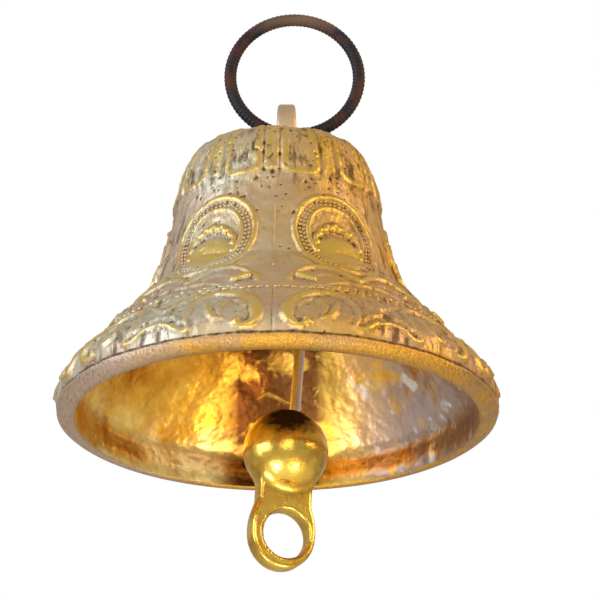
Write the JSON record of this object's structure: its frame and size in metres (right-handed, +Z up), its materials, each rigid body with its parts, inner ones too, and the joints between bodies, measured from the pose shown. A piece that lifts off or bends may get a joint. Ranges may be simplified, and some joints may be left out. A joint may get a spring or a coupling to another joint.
{
  "type": "hanging bell",
  "caption": "Cast brass bell with moulded scroll relief, hung from a ribbed steel ring and rung by a ball clapper with a pull loop.",
  "frame": {"origin": "inside of the top of the hanging ring, where a hook bears", "axes": "+Z up along the bell's axis, X across the hanging ring's hole plane so the ring lies in the XZ plane, -Y the front"},
  "size_m": [0.13, 0.13, 0.1798],
  "materials": {
    "ring_steel": "dark ribbed steel with rust",
    "cast_brass": "sand cast, worn and tarnished",
    "fastener_steel": "dull zinc",
    "rod_steel": "drawn, slightly worn",
    "polished_brass": "polished"
  },
  "bodies": {
    "ring": {"hanging_ring": "ring_steel"},
    "bell": {"bell_shell": "cast_brass", "crown_loop": "cast_brass", "crown_washer": "fastener_steel", "crown_nut": "fastener_steel", "clapper_eye": "fastener_steel"},
    "clapper": {"clapper_rod": "rod_steel", "clapper_ball": "polished_brass"}
  },
  "joints": [
    {"name": "bell_swing", "type": "hinge", "parent": "ring", "child": "bell", "pos_m": [-0.0025, 0, -0.03724], "axis": [1, 0, 0], "range_deg": [-100, 100]},
    {"name": "clapper_swing", "type": "hinge", "parent": "bell", "child": "clapper", "pos_m": [-0.0025, 0, -0.07496], "axis": [0, 1, 0], "range_deg": [-38, 39]}
  ]
}
